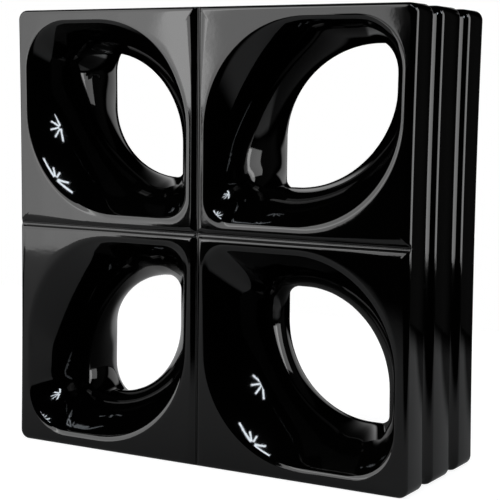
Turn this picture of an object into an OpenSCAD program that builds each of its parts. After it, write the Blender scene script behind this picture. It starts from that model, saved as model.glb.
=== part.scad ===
// Glazed ceramic ventilation block: a square block with a leaf-shaped opening
// in each quarter, a cross groove on both faces, and three ribs with two
// grooves between them running round its four edges. Millimetres. It stands
// on its lower edge, with the origin under its middle and the front at -Y.

/* [Block] */
// Width across the face
block_w = 250; // [200:1:320]
// Height of the face
block_h = 250; // [200:1:320]
// Depth from front face to back face
block_d = 88; // [70:1:120]
// Rounding of the four corners of the outline
corner_r = 5.5; // [5:0.5:12]
// Rounding of the long edges of the front and back faces
edge_r = 2.5; // [1.5:0.5:5]

/* [Edge ribs] */
// Width of each of the two grooves between the ribs
rib_groove_w = 15; // [10:0.5:18]
// Depth of the grooves between the ribs
rib_groove_depth = 4; // [2:0.5:5]
// Rounding of the ribs where they turn down into a groove
rib_shoulder_r = 2.5; // [0.5:0.5:4]
// Width of the middle rib between its two grooves
rib_mid_w = 20; // [14:0.5:26]

/* [Cross groove] */
// Width of the groove that quarters each face
cross_w = 6; // [4:0.5:8]
// Depth of the groove that quarters each face
cross_depth = 2.5; // [1:0.25:5]
// Sideways place of the upright groove, from the middle of the face
cross_x = -3; // [-6:0.5:6]
// Height of the level groove, from the middle of the face
cross_z = 3; // [-6:0.5:6]

/* [Openings] */
// Face left between an opening's lip and the middle of the cross groove
lip_to_cross = 4.5; // [4.25:0.25:10]
// Face left between an opening's lip and the outside of the block
lip_to_edge = 5.25; // [5.25:0.25:16]
// Rounding of the lip, where the wall turns into the face
lip_r = 4.5; // [1:0.5:8]
// How far the opening narrows from lip to mid-depth on the cross side
narrow_at_cross = 25; // [10:0.5:28]
// How far the opening narrows from lip to mid-depth on the outer side
narrow_at_edge = 21; // [10:0.5:28]
// How the wall leans: 1 is a straight slope, 2 is a parabola
lean_power = 1.75; // [1.25:0.25:3]
// Radius of the leaf's outer tip at the face
tip_r = 28; // [12:1:34]
// Radius of the leaf's inner tip at the face
heel_r = 14; // [8:1:24]
// Radius of the leaf's two long sweeps at the face
sweep_r = 60; // [36:1:72]
// Radius of the outer tip at mid-depth
throat_tip_r = 14; // [6:1:20]
// Radius of the inner tip at mid-depth
throat_heel_r = 13; // [6:1:20]
// Radius of the two long sweeps at mid-depth
throat_sweep_r = 54; // [20:1:64]

/* [Throats, which differ a little from quarter to quarter] */
// Extra half-width of the upper left throat
ease_upper_left = 2.5; // [0:0.5:8]
// Extra half-width of the upper right throat
ease_upper_right = 5.5; // [0:0.5:8]
// Extra half-width of the lower left throat
ease_lower_left = 0.5; // [0:0.5:8]
// Extra half-width of the lower right throat
ease_lower_right = 0; // [0:0.5:8]

/* [Hidden] */

glaze = [0.03, 0.03, 0.035];
half_d = block_d / 2;
// how far a cutting shape runs past the face that it cuts
past = 1;
// steps along one arc of a leaf, down one wall, and over one lip
arc_steps = 9;
wall_steps = 5;
lip_steps = 4;
// first guess of the wall's slope at the lip, and the rounds spent closing in on it
first_slope = 45;
slope_rounds = 12;
// steps along half a cross groove, a rounded edge, a rib's groove and its shoulder
cross_steps = 6;
edge_steps = 6;
groove_steps = 8;
shoulder_steps = 3;

// ---- Body: ribs and grooves on all four edges

// Points on a circle about centre, from one angle to another.
function arc(centre, radius, from, to, steps) =
    [for (i = [0:steps])
        let (angle = from + (to - from) * i / steps)
        centre + radius * [cos(angle), sin(angle)]];

function rounded_rect(width, height, radius, steps) =
    let (w = width / 2 - radius, h = height / 2 - radius)
    concat(
        arc([w, h], radius, 0, 90, steps),
        arc([-w, h], radius, 90, 180, steps),
        arc([-w, -h], radius, 180, 270, steps),
        arc([w, -h], radius, 270, 360, steps));

// Section of one groove between two ribs, with the ribs' surface at height 0.
// A hollow arc runs into a round shoulder on each side, with no edge between.
rib_groove_sum = (pow(rib_groove_w / 2, 2) + pow(rib_groove_depth, 2)) / (2 * rib_groove_depth);
rib_groove_r = rib_groove_sum - rib_shoulder_r;
rib_groove_turn = asin(rib_groove_w / 2 / rib_groove_sum);
rib_groove_y = (rib_mid_w + rib_groove_w) / 2;
rib_groove = concat(
    arc([-rib_groove_w / 2, -rib_shoulder_r], rib_shoulder_r, 90, 90 - rib_groove_turn, shoulder_steps),
    arc([0, rib_groove_r - rib_groove_depth], rib_groove_r,
        270 - rib_groove_turn, 270 + rib_groove_turn, groove_steps),
    arc([rib_groove_w / 2, -rib_shoulder_r], rib_shoulder_r, 90 + rib_groove_turn, 90, shoulder_steps),
    [[rib_groove_w / 2, past], [-rib_groove_w / 2, past]]);

// A bar along X, as deep as the block, with rounded long edges and the two
// grooves along its upper and its lower side.
module grooved_bar(height, length) {
    rotate([90, 0, 90])
        linear_extrude(height = length, center = true)
            difference() {
                polygon(rounded_rect(block_d, height, edge_r, edge_steps));
                for (side = [-1, 1], up = [0, 1])
                    mirror([0, up])
                        translate([side * rib_groove_y, height / 2])
                            polygon(rib_groove);
            }
}

module ribbed_body() {
    intersection() {
        grooved_bar(block_h, block_w + 2 * past);
        rotate([0, 90, 0])
            grooved_bar(block_w, block_h + 2 * past);
        rotate([90, 0, 0])
            linear_extrude(height = block_d + 2 * past, center = true)
                polygon(rounded_rect(block_w, block_h, corner_r, edge_steps));
    }
}

// ---- Cross groove, the same on the front and the back

// Section of a groove that fades softly into the face on both sides.
soft_groove = concat(
    [for (i = [-cross_steps:cross_steps])
        let (t = i / cross_steps)
        [t * cross_w / 2, cross_depth * (1 + cos(180 * t)) / 2]],
    [[cross_w / 2, -past], [-cross_w / 2, -past]]);

module face_cross() {
    translate([cross_x, -half_d, 0])
        linear_extrude(height = block_h + 2 * past, center = true)
            polygon(soft_groove);
    translate([0, -half_d, cross_z])
        rotate([0, 90, 0])
            linear_extrude(height = block_w + 2 * past, center = true)
                polygon(soft_groove);
}

// ---- Openings: leaves lofted from lip to mid-depth and out to the other lip

// Leaf outline in one quarter. near and far are the corners of its box that
// lie towards the cross and towards the outside. The tips get small radii
// and the sweeps between them large ones, as large as the sides leave room
// for. The count of points is fixed.
function leaf(near, far, tip, heel, sweep) =
    let (
        room = min(far[0] - near[0], far[1] - near[1]) - max(tip, heel),
        bend = min(sweep, room))
    concat(
        arc(far - [tip, tip], tip, 0, 90, arc_steps),
        arc([near[0] + bend, far[1] - bend], bend, 90, 180, arc_steps),
        arc(near + [heel, heel], heel, 180, 270, arc_steps),
        arc([far[0] - bend, near[1] + bend], bend, 270, 360, arc_steps));

function mix(a, b, t) = a + (b - a) * t;

// Slope at which the leaning wall runs into the lip's arc without a crease,
// found by closing in on it from a first guess.
function meeting_slope(guess, rounds) =
    rounds == 0 ? guess
    : meeting_slope(
        atan(lean_power * (narrow_at_cross - lip_r * cos(guess))
            / (half_d - lip_r + lip_r * sin(guess))),
        rounds - 1);

slope_at_lip = meeting_slope(first_slope, slope_rounds);
lip_start = half_d - lip_r + lip_r * sin(slope_at_lip);
wall_share = 1 - lip_r * cos(slope_at_lip) / narrow_at_cross;

// The rings of a loft, as [depth, share of the whole widening]. The last ring
// repeats the lip's end clear of the face.
half_rings = concat(
    [for (i = [0:wall_steps])
        [lip_start * i / wall_steps, wall_share * pow(i / wall_steps, lean_power)]],
    [for (i = [1:lip_steps])
        let (angle = mix(slope_at_lip, 90, i / lip_steps))
        [half_d - lip_r + lip_r * sin(angle), 1 - lip_r * cos(angle) / narrow_at_cross]],
    [[half_d + past, 1]]);
rings = concat(
    [for (i = [len(half_rings) - 1:-1:1]) [-half_rings[i][0], half_rings[i][1]]],
    half_rings);

// One ring of the opening whose outer tip points towards (side, up). A throat
// with extra half-width has longer sweeps as well.
function ring(side, up, ease, share) =
    let (
        out = ease * (1 - share),
        near = lip_to_cross + narrow_at_cross * (1 - share) - out,
        inset = lip_to_edge + narrow_at_edge * (1 - share) - out,
        far = [block_w / 2 - side * cross_x - inset, block_h / 2 - up * cross_z - inset])
    leaf([near, near], far, mix(throat_tip_r, tip_r, share), mix(throat_heel_r, heel_r, share),
        mix(throat_sweep_r + 2 * ease, sweep_r, share));

module opening(side, up, ease) {
    count = 4 * (arc_steps + 1);
    last = len(rings) - 1;
    points = [for (r = rings, p = ring(side, up, ease, r[1]))
        [cross_x + side * p[0], r[0], cross_z + up * p[1]]];
    walls = [for (k = [0:last - 1], i = [0:count - 1])
        let (j = (i + 1) % count)
        each [
            [k * count + i, k * count + j, (k + 1) * count + j],
            [k * count + i, (k + 1) * count + j, (k + 1) * count + i]]];
    ends = [
        [for (i = [count - 1:-1:0]) i],
        [for (i = [0:count - 1]) last * count + i]];
    faces = concat(walls, ends);
    polyhedron(points, side * up > 0 ? faces : [for (f = faces) [for (i = [len(f) - 1:-1:0]) f[i]]]);
}

module block() {
    color(glaze)
        translate([0, 0, block_h / 2])
            difference() {
                ribbed_body();
                face_cross();
                mirror([0, 1, 0])
                    face_cross();
                opening(-1, 1, ease_upper_left);
                opening(1, 1, ease_upper_right);
                opening(-1, -1, ease_lower_left);
                opening(1, -1, ease_lower_right);
            }
}

block();
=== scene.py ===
"""Looks of the glazed ceramic ventilation block.

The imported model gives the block's box. The glazed surface is built over it as
one closed mesh. In each quarter, nested rings run from the block's outline in
over the face, round the lip and down the leaf-shaped opening to mid-depth,
once from the front and once from the back, and a ribbed band closes the two
outer sides. The block's sizes are in millimetres and are turned into metres
when its mesh is made. The camera, the lights and the floor are in metres.
"""
import math
from functools import partial

import bmesh
import bpy
import numpy as np
from mathutils import Matrix, Vector


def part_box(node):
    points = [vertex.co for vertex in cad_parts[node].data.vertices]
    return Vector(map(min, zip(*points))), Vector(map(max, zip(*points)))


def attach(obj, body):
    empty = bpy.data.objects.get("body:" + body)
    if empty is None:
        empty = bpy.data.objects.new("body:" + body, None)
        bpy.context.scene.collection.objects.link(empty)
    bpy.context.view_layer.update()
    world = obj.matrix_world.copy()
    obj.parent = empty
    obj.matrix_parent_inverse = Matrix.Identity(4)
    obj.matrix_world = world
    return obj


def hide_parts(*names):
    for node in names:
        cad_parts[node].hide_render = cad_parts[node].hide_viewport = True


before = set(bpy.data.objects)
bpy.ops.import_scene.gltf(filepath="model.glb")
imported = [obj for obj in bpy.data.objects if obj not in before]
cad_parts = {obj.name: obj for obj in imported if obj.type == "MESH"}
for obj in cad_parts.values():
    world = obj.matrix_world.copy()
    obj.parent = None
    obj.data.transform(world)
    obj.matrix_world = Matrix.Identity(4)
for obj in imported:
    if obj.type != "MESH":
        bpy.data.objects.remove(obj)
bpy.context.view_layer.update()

MM = 0.001
LOW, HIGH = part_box("block")
HALF_W, HALF_D, HALF_H = [(high - low) / MM / 2 for low, high in zip(LOW, HIGH)]

# ---- Sizes of the block, in millimetres

# Rounding of the outline's corners, and of the long edges of both faces
OUTLINE_R = 5.5
EDGE_R = 2.5
# How far the two upright sides draw in at mid-height
WAIST = 1.3

# The two grooves between the ribs, their shoulders, and the middle rib
RIB_GROOVE_W = 15.0
RIB_GROOVE_DEPTH = 4.0
RIB_SHOULDER_R = 2.5
RIB_MID_W = 20.0

# The cross groove's middle lines, from the middle of the face, and its section.
# A fine crease, as deep as the rounded edge, runs along both middle lines.
CROSS_X = -3.0
CROSS_Z = 3.0
CROSS_W = 6.0
CROSS_DEPTH = 2.25
# How soon the groove reaches this depth on its way in round the face's edge
CROSS_ONSET = 4
# How sharply two hollows meet, such as the arms of the cross
SHARPNESS = 4

# Face left between a lip and the cross groove's middle, and the block's outside
LIP_TO_CROSS = 4.5
LIP_TO_EDGE = 5.25
# Rounding of the lip, where the wall turns into the face
LIP_R = 4.5
# How far an opening narrows from the face to mid-depth, on its two sides
NARROW_AT_CROSS = 25.0
NARROW_AT_EDGE = 21.0
# How the wall leans: 1 is a straight slope, 2 is a parabola
LEAN_POWER = 1.75

# Radii of the leaf's outer tip, inner tip and two long sweeps, at the face and
# at mid-depth
FACE_RADII = (28.0, 14.0, 60.0)
THROAT_RADII = (14.0, 13.0, 54.0)

# The quarters as (side, up), each with the extra half-width of its throat and
# how far the throat has drifted outwards in the fired clay, sideways and upright
QUARTERS = (
    (-1, 1, 2.5, (1.5, 0.5)),
    (1, 1, 6.2, (-3.0, 1.6)),
    (-1, -1, 0.5, (1.2, 0.5)),
    (1, -1, 0.0, (0.9, 0.0)),
)
# How late on the way to mid-depth the extra width and the drift come in
LATENESS = 2

# ---- How finely the surface is divided

# Steps along each degree of an arc
ARC_STEPS_PER_DEGREE = 4
# Points along each of a ring's four sides, and how much they crowd at its corners
SIDE_STEPS = 36
CROWDING = 0.13
# Rings round the face's edge, over the face, round the lip and down the wall
EDGE_STEPS = 8
PANEL_STEPS = 8
LIP_STEPS = 7
WALL_STEPS = 12
# Least gap between two points of a rib groove's section, and before its last one
RIB_POINT_GAP = 0.8
RIB_LAST_GAP = 0.4
# Points closer than this become one, where two patches meet
WELD = 0.01
# First guess of the wall's slope at the lip, and rounds spent closing in on it
FIRST_SLOPE = math.pi / 4
SLOPE_ROUNDS = 12


# ---- Outlines: closed paths round one quarter, in its own u and v. Both start
# ---- at the cross groove's middle and grow towards the outside of the block.

def arc(centre, radius, start, end):
    """Points along an arc, its angles in degrees."""
    steps = int(abs(end - start) * ARC_STEPS_PER_DEGREE)
    angle = np.radians(np.linspace(start, end, steps + 1))
    return np.asarray(centre) + radius * np.stack([np.cos(angle), np.sin(angle)], axis=1)


def side_spacing():
    """Places along one side from 0 to 1, closer together near its two ends."""
    t = np.linspace(0, 1, SIDE_STEPS + 1)[:-1]
    return t - CROWDING * np.sin(2 * np.pi * t)


SPACING = side_spacing()


def round_trip(sides):
    """Spreads the ring's points along its four sides, given as polylines."""
    points = []
    for side in sides:
        length = np.r_[0, np.cumsum(np.hypot(*np.diff(side, axis=0).T))]
        at = SPACING * length[-1]
        points.append(np.stack([np.interp(at, length, side[:, k]) for k in (0, 1)], axis=1))
    return np.concatenate(points)


def far_corner(side, up):
    """The quarter's outer corner, in its own u and v."""
    return HALF_W - side * CROSS_X, HALF_H - up * CROSS_Z


def square_ring(far, near, inset):
    """The quarter's outline, drawn in by near at the cross and inset outside."""
    u, v = far[0] - inset, far[1] - inset
    radius = OUTLINE_R - inset
    centre = (u - radius, v - radius)
    return round_trip([
        np.array([[near, near], [u, near]]),
        np.concatenate([[[u, near]], arc(centre, radius, 0, 45)]),
        np.concatenate([arc(centre, radius, 45, 90), [[near, v]]]),
        np.array([[near, v], [near, near]]),
    ])


def leaf_ring(far, near, inset, radii):
    """The leaf between near at the cross and inset at the outside."""
    tip, heel, sweep = radii
    u, v = far[0] - inset, far[1] - inset
    at_tip, at_heel = (u - tip, v - tip), (near + heel, near + heel)
    low, high = (u - sweep, near + sweep), (near + sweep, v - sweep)
    return round_trip([
        np.concatenate([arc(at_heel, heel, 225, 270), arc(low, sweep, 270, 315)]),
        np.concatenate([arc(low, sweep, 315, 360), arc(at_tip, tip, 0, 45)]),
        np.concatenate([arc(at_tip, tip, 45, 90), arc(high, sweep, 90, 135)]),
        np.concatenate([arc(high, sweep, 135, 180), arc(at_heel, heel, 180, 225)]),
    ])


# ---- Depths, from mid-depth towards one face. What is cut or sunk counts from
# ---- that face.

def soft_max(a, b):
    """The larger of two numbers, and a little more where they are alike."""
    return (np.abs(a) ** SHARPNESS + np.abs(b) ** SHARPNESS) ** (1 / SHARPNESS)


def groove_depth(distance):
    """How deep one arm of the cross is cut at a distance from its middle line."""
    t = np.clip(np.abs(distance) * 2 / CROSS_W, 0, 1)
    return CROSS_DEPTH * (1 + np.cos(np.pi * t)) / 2


def meeting_slope():
    """Slope at which the leaning wall runs into the lip's arc without a crease."""
    slope = FIRST_SLOPE
    for _ in range(SLOPE_ROUNDS):
        rise = LEAN_POWER * (NARROW_AT_CROSS - LIP_R * math.cos(slope))
        slope = math.atan(rise / (HALF_D - LIP_R + LIP_R * math.sin(slope)))
    return slope


LIP_SLOPE = meeting_slope()
LIP_START = HALF_D - LIP_R * (1 - math.sin(LIP_SLOPE))


def share(depth):
    """Share of the opening's widening: 0 at mid-depth, 1 where the lip meets the face."""
    if depth <= LIP_START:
        wall = 1 - LIP_R * math.cos(LIP_SLOPE) / NARROW_AT_CROSS
        return wall * (depth / LIP_START) ** LEAN_POWER
    turn = math.asin(min(1, 1 - (HALF_D - depth) / LIP_R))
    return 1 - LIP_R * math.cos(turn) / NARROW_AT_CROSS


def opening_ring(far, ease, drift, depth):
    """The opening's outline at a depth. A throat with extra width has longer sweeps."""
    opened = share(depth)
    narrower = 1 - opened
    late = narrower ** LATENESS
    wider = ease * late
    near = LIP_TO_CROSS + NARROW_AT_CROSS * narrower - wider
    inset = LIP_TO_EDGE + NARROW_AT_EDGE * narrower - wider
    tip, heel, sweep = [a * narrower + b * opened for a, b in zip(THROAT_RADII, FACE_RADII)]
    ring = leaf_ring(far, near, inset, (tip, heel, sweep + 2 * wider))
    return ring + np.array(drift) * late


# ---- Patches, as grids of points (rows, points along a row, x y z)

def place(ring, depth, side, up):
    """Puts a ring of u and v at its place on the block."""
    x = CROSS_X + side * ring[:, 0]
    z = HALF_H + CROSS_Z + up * ring[:, 1]
    return np.stack([x, np.broadcast_to(depth, x.shape), z], axis=1)


def half_quarter(side, up, ease, drift, facing):
    """Rings from the outline, over the face and the lip, to mid-depth."""
    far = far_corner(side, up)
    rows = []

    def add(ring, sunk, along=1.0):
        """Adds a ring sunk below the face, with its share of the cross groove."""
        cross = soft_max(groove_depth(ring[:, 0]), groove_depth(ring[:, 1])) * along
        rows.append(place(ring, facing * (HALF_D - soft_max(sunk, cross)), side, up))

    for k in range(EDGE_STEPS + 1):
        turn = math.radians(90 * k / EDGE_STEPS)
        drawn_in = EDGE_R * (1 - math.cos(turn))
        along = 1 - (1 - k / EDGE_STEPS) ** CROSS_ONSET
        add(square_ring(far, drawn_in, drawn_in), EDGE_R * (1 - math.sin(turn)), along)
    border = square_ring(far, EDGE_R, EDGE_R)
    lip = opening_ring(far, ease, drift, HALF_D)
    for k in range(1, PANEL_STEPS + 1):
        add(border + (lip - border) * k / PANEL_STEPS, 0.0)
    for k in range(1, LIP_STEPS + 1):
        turn = math.pi / 2 + (LIP_SLOPE - math.pi / 2) * k / LIP_STEPS
        sunk = LIP_R * (1 - math.sin(turn))
        add(opening_ring(far, ease, drift, HALF_D - sunk), sunk)
    for k in range(1, WALL_STEPS + 1):
        depth = LIP_START * (1 - k / WALL_STEPS)
        rows.append(place(opening_ring(far, ease, drift, depth), facing * depth, side, up))
    return np.array(rows)


def thin_out(points):
    """Drops the points of a rib groove's section that lie too close together."""
    kept = [points[0]]
    for p in points[1:-1]:
        if np.hypot(*(p - kept[-1])) >= RIB_POINT_GAP and np.hypot(*(p - points[-1])) >= RIB_LAST_GAP:
            kept.append(p)
    kept.append(points[-1])
    return kept


def rib_profile():
    """Rows of the ribbed band as (how far in, depth), from front to back.

    An arc gives one row to a degree, apart from what thin_out drops.
    """
    half = RIB_GROOVE_W / 2
    total = (half ** 2 + RIB_GROOVE_DEPTH ** 2) / (2 * RIB_GROOVE_DEPTH)
    hollow_r = total - RIB_SHOULDER_R
    turn = math.degrees(math.asin(half / total))
    arcs = (
        arc((-half, -RIB_SHOULDER_R), RIB_SHOULDER_R, 90, 90 - turn),
        arc((0, hollow_r - RIB_GROOVE_DEPTH), hollow_r, 270 - turn, 270 + turn),
        arc((half, -RIB_SHOULDER_R), RIB_SHOULDER_R, 90 + turn, 90),
    )
    groove = thin_out(np.concatenate([points[::ARC_STEPS_PER_DEGREE] for points in arcs]))
    middle = (RIB_MID_W + RIB_GROOVE_W) / 2
    rows = [(0.0, EDGE_R - HALF_D)]
    for at in (-middle, middle):
        rows += [(-height, at + across) for across, height in groove]
    rows.append((0.0, HALF_D - EDGE_R))
    return rows


def ribbed_band(side, up):
    """The quarter's two outer sides, from the front edge to the back edge."""
    far = far_corner(side, up)
    outer = slice(SIDE_STEPS, 3 * SIDE_STEPS + 1)
    rows = [place(square_ring(far, 0.0, inset)[outer], y, side, up) for inset, y in rib_profile()]
    return np.array(rows)


# ---- Mesh

def waisted(grid):
    """Draws the upright sides in a little at mid-height."""
    height = (grid[..., 2] - HALF_H) / HALF_H
    grid[..., 0] *= 1 - WAIST / HALF_W * (1 - height ** 2)
    return grid


def add_patch(mesh, grid, closed):
    """Adds a grid of points to the mesh as quads."""
    verts = [[mesh.verts.new(p * MM) for p in row] for row in waisted(grid)]
    for a, b in zip(verts, verts[1:]):
        if closed:
            a, b = a + a[:1], b + b[:1]
        for k in range(len(a) - 1):
            mesh.faces.new((a[k], a[k + 1], b[k + 1], b[k]))


def new_object(name, mesh):
    """An object of a finished bmesh, in the scene."""
    data = bpy.data.meshes.new(name)
    mesh.to_mesh(data)
    mesh.free()
    piece = bpy.data.objects.new(name, data)
    bpy.context.collection.objects.link(piece)
    return piece


def make_block():
    """All patches of the glazed surface, joined into one closed mesh."""
    mesh = bmesh.new()
    for side, up, ease, drift in QUARTERS:
        for facing in (-1, 1):
            add_patch(mesh, half_quarter(side, up, ease, drift, facing), True)
        add_patch(mesh, ribbed_band(side, up), False)
    bmesh.ops.remove_doubles(mesh, verts=mesh.verts, dist=WELD * MM)
    bmesh.ops.recalc_face_normals(mesh, faces=mesh.faces)
    piece = new_object("glazed_block", mesh)
    piece.data.shade_smooth()
    return piece


block = make_block()
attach(block, "root")
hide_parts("block")


# ---- Helpers for node trees

def add_maths(tree, kind, *values):
    """The result of a Math node that is fed with numbers and sockets."""
    node = tree.nodes.new("ShaderNodeMath")
    node.operation = kind
    for socket, value in zip(node.inputs, values):
        if isinstance(value, (int, float)):
            socket.default_value = value
        else:
            tree.links.new(value, socket)
    return node.outputs[0]


def add_step(tree, value, start, full):
    """A smooth step from 0 where the value is start to 1 where it is full."""
    node = tree.nodes.new("ShaderNodeMapRange")
    node.interpolation_type = "SMOOTHSTEP"
    node.inputs["From Min"].default_value = start
    node.inputs["From Max"].default_value = full
    tree.links.new(value, node.inputs["Value"])
    return node.outputs["Result"]


def add_rays(tree):
    """Whether a ray is the camera's, and whether it shows in gloss or glass."""
    rays = tree.nodes.new("ShaderNodeLightPath").outputs
    seen = add_maths(tree, "MAXIMUM", rays["Is Glossy Ray"], rays["Is Transmission Ray"])
    return rays["Is Camera Ray"], seen


# ---- Glaze

GLAZE_IOR = 1.5
# Noise as (scale, detail). Pooling tints the glaze and dulling roughens it. The
# waves and the orange peel are its relief, with their heights in metres.
POOLING = (14.0, 3.0)
DULLING = (45.0, 4.0)
WAVES = (32.0, 1.0)
WAVES_HEIGHT = 0.00012
PEEL = (450.0, 2.0)
PEEL_HEIGHT = 0.000004
# The two ends of the tint, each with the noise at which it is reached
TINTS = ((0.35, (0.0003, 0.0003, 0.0003, 1)), (0.7, (0.0006, 0.0006, 0.0005, 1)))
# The noise between which the roughness changes, and the roughness at both ends
DULLING_RANGE = (0.3, 0.7)
ROUGHNESS = (0.035, 0.06)


def glaze_material():
    """Black gloss over fired clay: deep, slightly uneven, with a faint waviness."""
    material = bpy.data.materials.new("black_glaze")
    material.use_nodes = True
    nodes, links = material.node_tree.nodes, material.node_tree.links
    shader = nodes["Principled BSDF"]
    shader.inputs["IOR"].default_value = GLAZE_IOR
    where = nodes.new("ShaderNodeTexCoord").outputs["Object"]

    def noise(scale, detail):
        """The result of a noise that lies still on the block."""
        node = nodes.new("ShaderNodeTexNoise")
        node.inputs["Scale"].default_value = scale
        node.inputs["Detail"].default_value = detail
        links.new(where, node.inputs["Vector"])
        return node.outputs["Fac"]

    def bump(height, distance):
        """A Bump node whose relief is as high as distance."""
        node = nodes.new("ShaderNodeBump")
        node.inputs["Strength"].default_value = 1.0
        node.inputs["Distance"].default_value = distance
        links.new(height, node.inputs["Height"])
        return node

    tint = nodes.new("ShaderNodeValToRGB")
    for element, (reached, colour) in zip(tint.color_ramp.elements, TINTS):
        element.position = reached
        element.color = colour
    links.new(noise(*POOLING), tint.inputs["Fac"])
    links.new(tint.outputs["Color"], shader.inputs["Base Color"])

    dulling = nodes.new("ShaderNodeMapRange")
    limits = zip(("From Min", "From Max", "To Min", "To Max"), DULLING_RANGE + ROUGHNESS)
    for name, value in limits:
        dulling.inputs[name].default_value = value
    links.new(noise(*DULLING), dulling.inputs["Value"])
    links.new(dulling.outputs["Result"], shader.inputs["Roughness"])

    waves = bump(noise(*WAVES), WAVES_HEIGHT)
    peel = bump(noise(*PEEL), PEEL_HEIGHT)
    links.new(waves.outputs["Normal"], peel.inputs["Normal"])
    links.new(peel.outputs["Normal"], shader.inputs["Normal"])
    return material


block.data.materials.append(glaze_material())


# ---- Camera: front right, a little above the middle of the block

CAMERA_PLACE = Vector((0.4247, -0.7149, 0.2063))
CAMERA_AZIMUTH = math.radians(30.37)
CAMERA_RISE = math.radians(6.2)
CAMERA_ROLL = math.radians(0.63)
CAMERA_LENS = 106.3
UPRIGHT = Vector((0, 0, 1))


def make_camera():
    back = Vector((
        math.sin(CAMERA_AZIMUTH) * math.cos(CAMERA_RISE),
        -math.cos(CAMERA_AZIMUTH) * math.cos(CAMERA_RISE),
        math.sin(CAMERA_RISE),
    ))
    right = UPRIGHT.cross(back).normalized()
    up = back.cross(right)
    turn = Matrix.Rotation(CAMERA_ROLL, 3, back)
    data = bpy.data.cameras.new("camera")
    data.lens = CAMERA_LENS
    camera = bpy.data.objects.new("camera", data)
    axes = Matrix((turn @ right, turn @ up, back)).transposed()
    camera.matrix_world = Matrix.Translation(CAMERA_PLACE) @ axes.to_4x4()
    bpy.context.collection.objects.link(camera)
    bpy.context.scene.camera = camera


make_camera()


# ---- Studio: lights, surroundings and floor

MIDDLE = Vector((0, 0, HALF_H * MM))
WHITE = (1, 1, 1)

# The big window at the left, in panes side by side: the share of its width at
# which each ends, its bottom, and its level
PANES = (
    (0.56, -0.06, 2.65),
    (0.60, -0.05, 2.9),
    (0.64, -0.035, 3.15),
    (0.68, -0.01, 3.35),
    (0.718, 0.01, 3.6),
    (0.727, 0.02, 4.4),
    (0.773, 0.18, 6.3),
    (0.782, 0.02, 4.2),
    (0.92, 0.02, 2.65),
    (1.0, 0.25, 2.65),
)

# Two fans of bright strips: the angle of each strip, anticlockwise from the
# right as seen from the block, and its length
FAN_RIGHT = ((-108, 0.38), (-74, 0.28), (-28, 0.24), (22, 0.26), (60, 0.36))
FAN_ABOVE = ((52, 0.36), (78, 0.22), (148, 0.12), (192, 0.18), (217, 0.4))
FAN_LEVEL = 22
FAN_TINT = (0.86, 0.93, 1)
# Gap between the middle of a fan and the start of its strips
FAN_GAP = 0.04


def panel_light(name, centre, away, up, width, height, level, tint=WHITE):
    """A rectangular light, its back turned to away and its height along up.

    Its energy is worked out from its level, which is its radiance.
    """
    data = bpy.data.lights.new(name, "AREA")
    data.shape = "RECTANGLE"
    data.size, data.size_y = width, height
    data.energy = level * math.pi * width * height
    data.color = tint
    light = bpy.data.objects.new(name, data)
    right = up.cross(away).normalized()
    axes = Matrix((right, away.cross(right).normalized(), away.normalized())).transposed()
    light.matrix_world = Matrix.Translation(centre) @ axes.to_4x4()
    bpy.context.collection.objects.link(light)


def window(name, start, end, low, high, level):
    """An upright soft light between two places on the floor plan."""
    (x0, y0), (x1, y1) = start, end
    centre = Vector(((x0 + x1) / 2, (y0 + y1) / 2, (low + high) / 2))
    along = Vector((x1 - x0, y1 - y0, 0))
    away = along.cross(UPRIGHT)
    if away.dot(centre) < 0:
        away = -away
    panel_light(name, centre, away, UPRIGHT, along.length, high - low, level)


def window_in_panes(name, start, end, panes, top):
    """An upright window whose panes have their own bottoms and levels."""
    start, end = Vector(start), Vector(end)
    begun = 0.0
    for k, (until, low, level) in enumerate(panes):
        window("%s_%d" % (name, k), start.lerp(end, begun), start.lerp(end, until), low, top, level)
        begun = until


def fan(name, hub, strips, width):
    """Narrow strips of light that spread from a hub, all facing the block."""
    hub = Vector(hub)
    away = (hub - MIDDLE).normalized()
    left = UPRIGHT.cross(away).normalized()
    up = away.cross(left)
    for k, (angle, length) in enumerate(strips):
        turn = math.radians(angle)
        along = up * math.sin(turn) - left * math.cos(turn)
        centre = hub + along * (FAN_GAP + length / 2)
        panel_light("%s_%d" % (name, k), centre, away, along, width, length, FAN_LEVEL, FAN_TINT)


window_in_panes("window_left", start=(-1.332, -0.324), end=(-0.515, -1.40), panes=PANES, top=1.9)
window("window_right", start=(1.25, -0.1), end=(1.0, 0.75), low=0.0, high=1.2, level=3.3)
window("strip_back", start=(1.05, 0.68), end=(0.79, 0.93), low=-0.02, high=0.75, level=1.6)
fan("fan_right", hub=(1.42, -0.36, 1.12), strips=FAN_RIGHT, width=0.045)
fan("fan_above", hub=(0.28, -0.78, 1.24), strips=FAN_ABOVE, width=0.036)


# What the gloss shows far away: a pale screen behind the block, and a lit wall
# and a dim one beside it. Each has the azimuth of its middle, its half width and
# its fading at the sides, in degrees, its level, and its ends, as the rise of a
# ray (its direction's z) where the wall starts and where it is full.
SCREEN = (-174, 13, 2.5, 0.36, ((0.30, 0.22), (-0.10, -0.06)))
WALL = (-134, 18, 8, 0.9, ((0.20, 0.34),))
DIM_WALL = (148, 14, 6, 0.018, ((-0.3, -0.2),))
# The lit wall dims upwards between these rises, in a curve of this power
WALL_DIMS = (1.0, 0.22)
WALL_DIMS_POWER = 3.0
# The level of the even light from all round, which the gloss doesn't show
EVEN_LEVEL = 0.25


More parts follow.
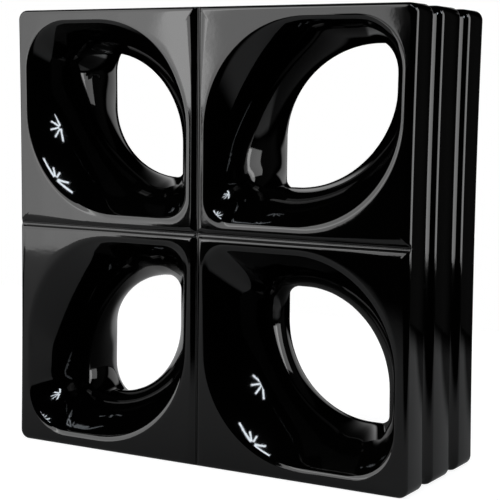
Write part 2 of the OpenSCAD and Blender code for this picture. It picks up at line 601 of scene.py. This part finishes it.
def make_world():
    """White for the camera, a dim studio in the gloss, and a little even light."""
    world = bpy.data.worlds.new("studio")
    bpy.context.scene.world = world
    world.use_nodes = True
    tree = world.node_tree
    tree.nodes.clear()
    maths, step = partial(add_maths, tree), partial(add_step, tree)

    def vector_maths(kind, vector, other=(0, 0, 0)):
        """The outputs of a Vector Math node."""
        node = tree.nodes.new("ShaderNodeVectorMath")
        node.operation = kind
        node.inputs[1].default_value = other
        tree.links.new(vector, node.inputs[0])
        return node.outputs

    direction = tree.nodes.new("ShaderNodeTexCoord").outputs["Generated"]
    heading = vector_maths("NORMALIZE", vector_maths("MULTIPLY", direction, (1, 1, 0))[0])[0]
    rise = vector_maths("DOT_PRODUCT", direction, (0, 0, 1))["Value"]

    def far_wall(azimuth, half_width, fading, level, ends):
        """The light of a wall far away, in the direction of a ray."""
        turn = math.radians(azimuth)
        facing = vector_maths("DOT_PRODUCT", heading, (math.sin(turn), -math.cos(turn), 0))["Value"]
        start, full = [math.cos(math.radians(half_width + side * fading)) for side in (1, -1)]
        light = maths("MULTIPLY", step(facing, start, full), level)
        for end in ends:
            light = maths("MULTIPLY", light, step(rise, *end))
        return light

    camera, seen = add_rays(tree)
    dimming = maths("POWER", step(rise, *WALL_DIMS), WALL_DIMS_POWER)
    gloss = maths("MULTIPLY_ADD", far_wall(*WALL), dimming, far_wall(*SCREEN))
    gloss = maths("MULTIPLY", seen, maths("ADD", gloss, far_wall(*DIM_WALL)))
    even = maths("MULTIPLY", maths("SUBTRACT", 1.0, seen), EVEN_LEVEL)
    background = tree.nodes.new("ShaderNodeBackground")
    background.inputs["Color"].default_value = (*WHITE, 1)
    strength = maths("MAXIMUM", camera, maths("ADD", gloss, even))
    tree.links.new(strength, background.inputs["Strength"])
    output = tree.nodes.new("ShaderNodeOutputWorld")
    tree.links.new(background.outputs[0], output.inputs[0])


make_world()

# Two corners of the floor on the plan, its grey, and its own light for the
# camera and in the gloss
FLOOR_FROM = (-0.9, -0.85)
FLOOR_TO = (0.58, 0.48)
FLOOR_GREY = 0.35
FLOOR_GLOW = 0.8
FLOOR_GLOW_IN_GLOSS = 0.04
FLOOR_ROUGHNESS = 0.9
# Painted light on the floor in the gloss: its level at the left, nearer the big
# window, and how much less it is at the right, changing between two places along x
FLOOR_PAINTED_LIGHT = 1.1
FLOOR_PAINTED_FALLOFF = 0.30
FLOOR_PAINTED_FALLOFF_SPAN = (-0.35, 0.05)
# Where the floor fades to black in the gloss: a heading on the plan, how far out
# the fading starts and where it is over, and how far back this fading holds
FLOOR_FADES = (
    ((1.0, -1.0), 0.21, 0.36, None),
    ((-0.86, 0.51), 0.20, 0.32, 0.0),
    ((0.0, 1.0), 0.34, 0.47, None),
    ((1.0, 0.0), 0.44, 0.57, None),
)
FLOOR_FADE_HOLD_SPAN = 0.1
# Painted shade: the dim wedge of floor behind the block, where its shadow falls,
# as the gloss sees it. Each of its sides has shares of x and y, and their sum
# where the shade starts and where it is full. Its depth is the share of the light
# that it takes away.
PAINTED_SHADE_SIDES = (
    ((1.0, 0.25), -0.10, -0.055),
    ((1.0, -0.58), 0.09, 0.05),
    ((0.0, 1.0), 0.02, 0.06),
)
PAINTED_SHADE_DEPTH = 0.85


def floor_material():
    """Pale and matt. The camera sees it evenly; other rays see painted light and shade and the fades.
    """
    material = bpy.data.materials.new("pale_floor")
    material.use_nodes = True
    tree = material.node_tree
    maths, step = partial(add_maths, tree), partial(add_step, tree)
    shader = tree.nodes["Principled BSDF"].inputs
    shader["Roughness"].default_value = FLOOR_ROUGHNESS
    shader["Specular IOR Level"].default_value = 0.0
    shader["Emission Color"].default_value = (*WHITE, 1)
    position = tree.nodes.new("ShaderNodeSeparateXYZ")
    geometry = tree.nodes.new("ShaderNodeNewGeometry")
    tree.links.new(geometry.outputs["Position"], position.inputs[0])
    x, y = position.outputs["X"], position.outputs["Y"]

    def across(east, north):
        """The sum of these shares of x and y."""
        return maths("MULTIPLY_ADD", x, east, maths("MULTIPLY", y, north))

    # Painted light: the floor is brighter at the left and darker towards the right
    painted_floor_light = maths("MULTIPLY_ADD", step(x, *FLOOR_PAINTED_FALLOFF_SPAN), -FLOOR_PAINTED_FALLOFF, FLOOR_PAINTED_LIGHT)
    for (east, north), start, over, until in FLOOR_FADES:
        length = math.hypot(east, north)
        end = step(across(east / length, north / length), over, start)
        if until is not None:
            end = maths("MAXIMUM", end, step(y, until, until + FLOOR_FADE_HOLD_SPAN))
        painted_floor_light = maths("MULTIPLY", painted_floor_light, end)
    # Painted shade behind the block, darkening the floor's colour
    painted_shade = PAINTED_SHADE_DEPTH
    for shares, start, full in PAINTED_SHADE_SIDES:
        painted_shade = maths("MULTIPLY", step(across(*shares), start, full), painted_shade)
    painted_floor_light = maths("MULTIPLY", painted_floor_light, maths("SUBTRACT", 1.0, painted_shade))

    camera, seen = add_rays(tree)
    # The camera sees the floor evenly pale; the painted light and shade show only to other rays
    painted_floor_light = maths("MAXIMUM", painted_floor_light, camera)
    tree.links.new(maths("MULTIPLY", painted_floor_light, FLOOR_GREY), shader["Base Color"])
    glow = maths("MULTIPLY", maths("MULTIPLY", seen, painted_floor_light), FLOOR_GLOW_IN_GLOSS)
    tree.links.new(maths("MULTIPLY_ADD", camera, FLOOR_GLOW, glow), shader["Emission Strength"])
    return material


def make_floor():
    mesh = bmesh.new()
    (x0, y0), (x1, y1) = FLOOR_FROM, FLOOR_TO
    mesh.faces.new([mesh.verts.new(p) for p in ((x0, y0, 0), (x1, y0, 0), (x1, y1, 0), (x0, y1, 0))])
    floor = new_object("floor", mesh)
    floor.data.materials.append(floor_material())


make_floor()

bpy.context.scene.view_settings.view_transform = "Standard"
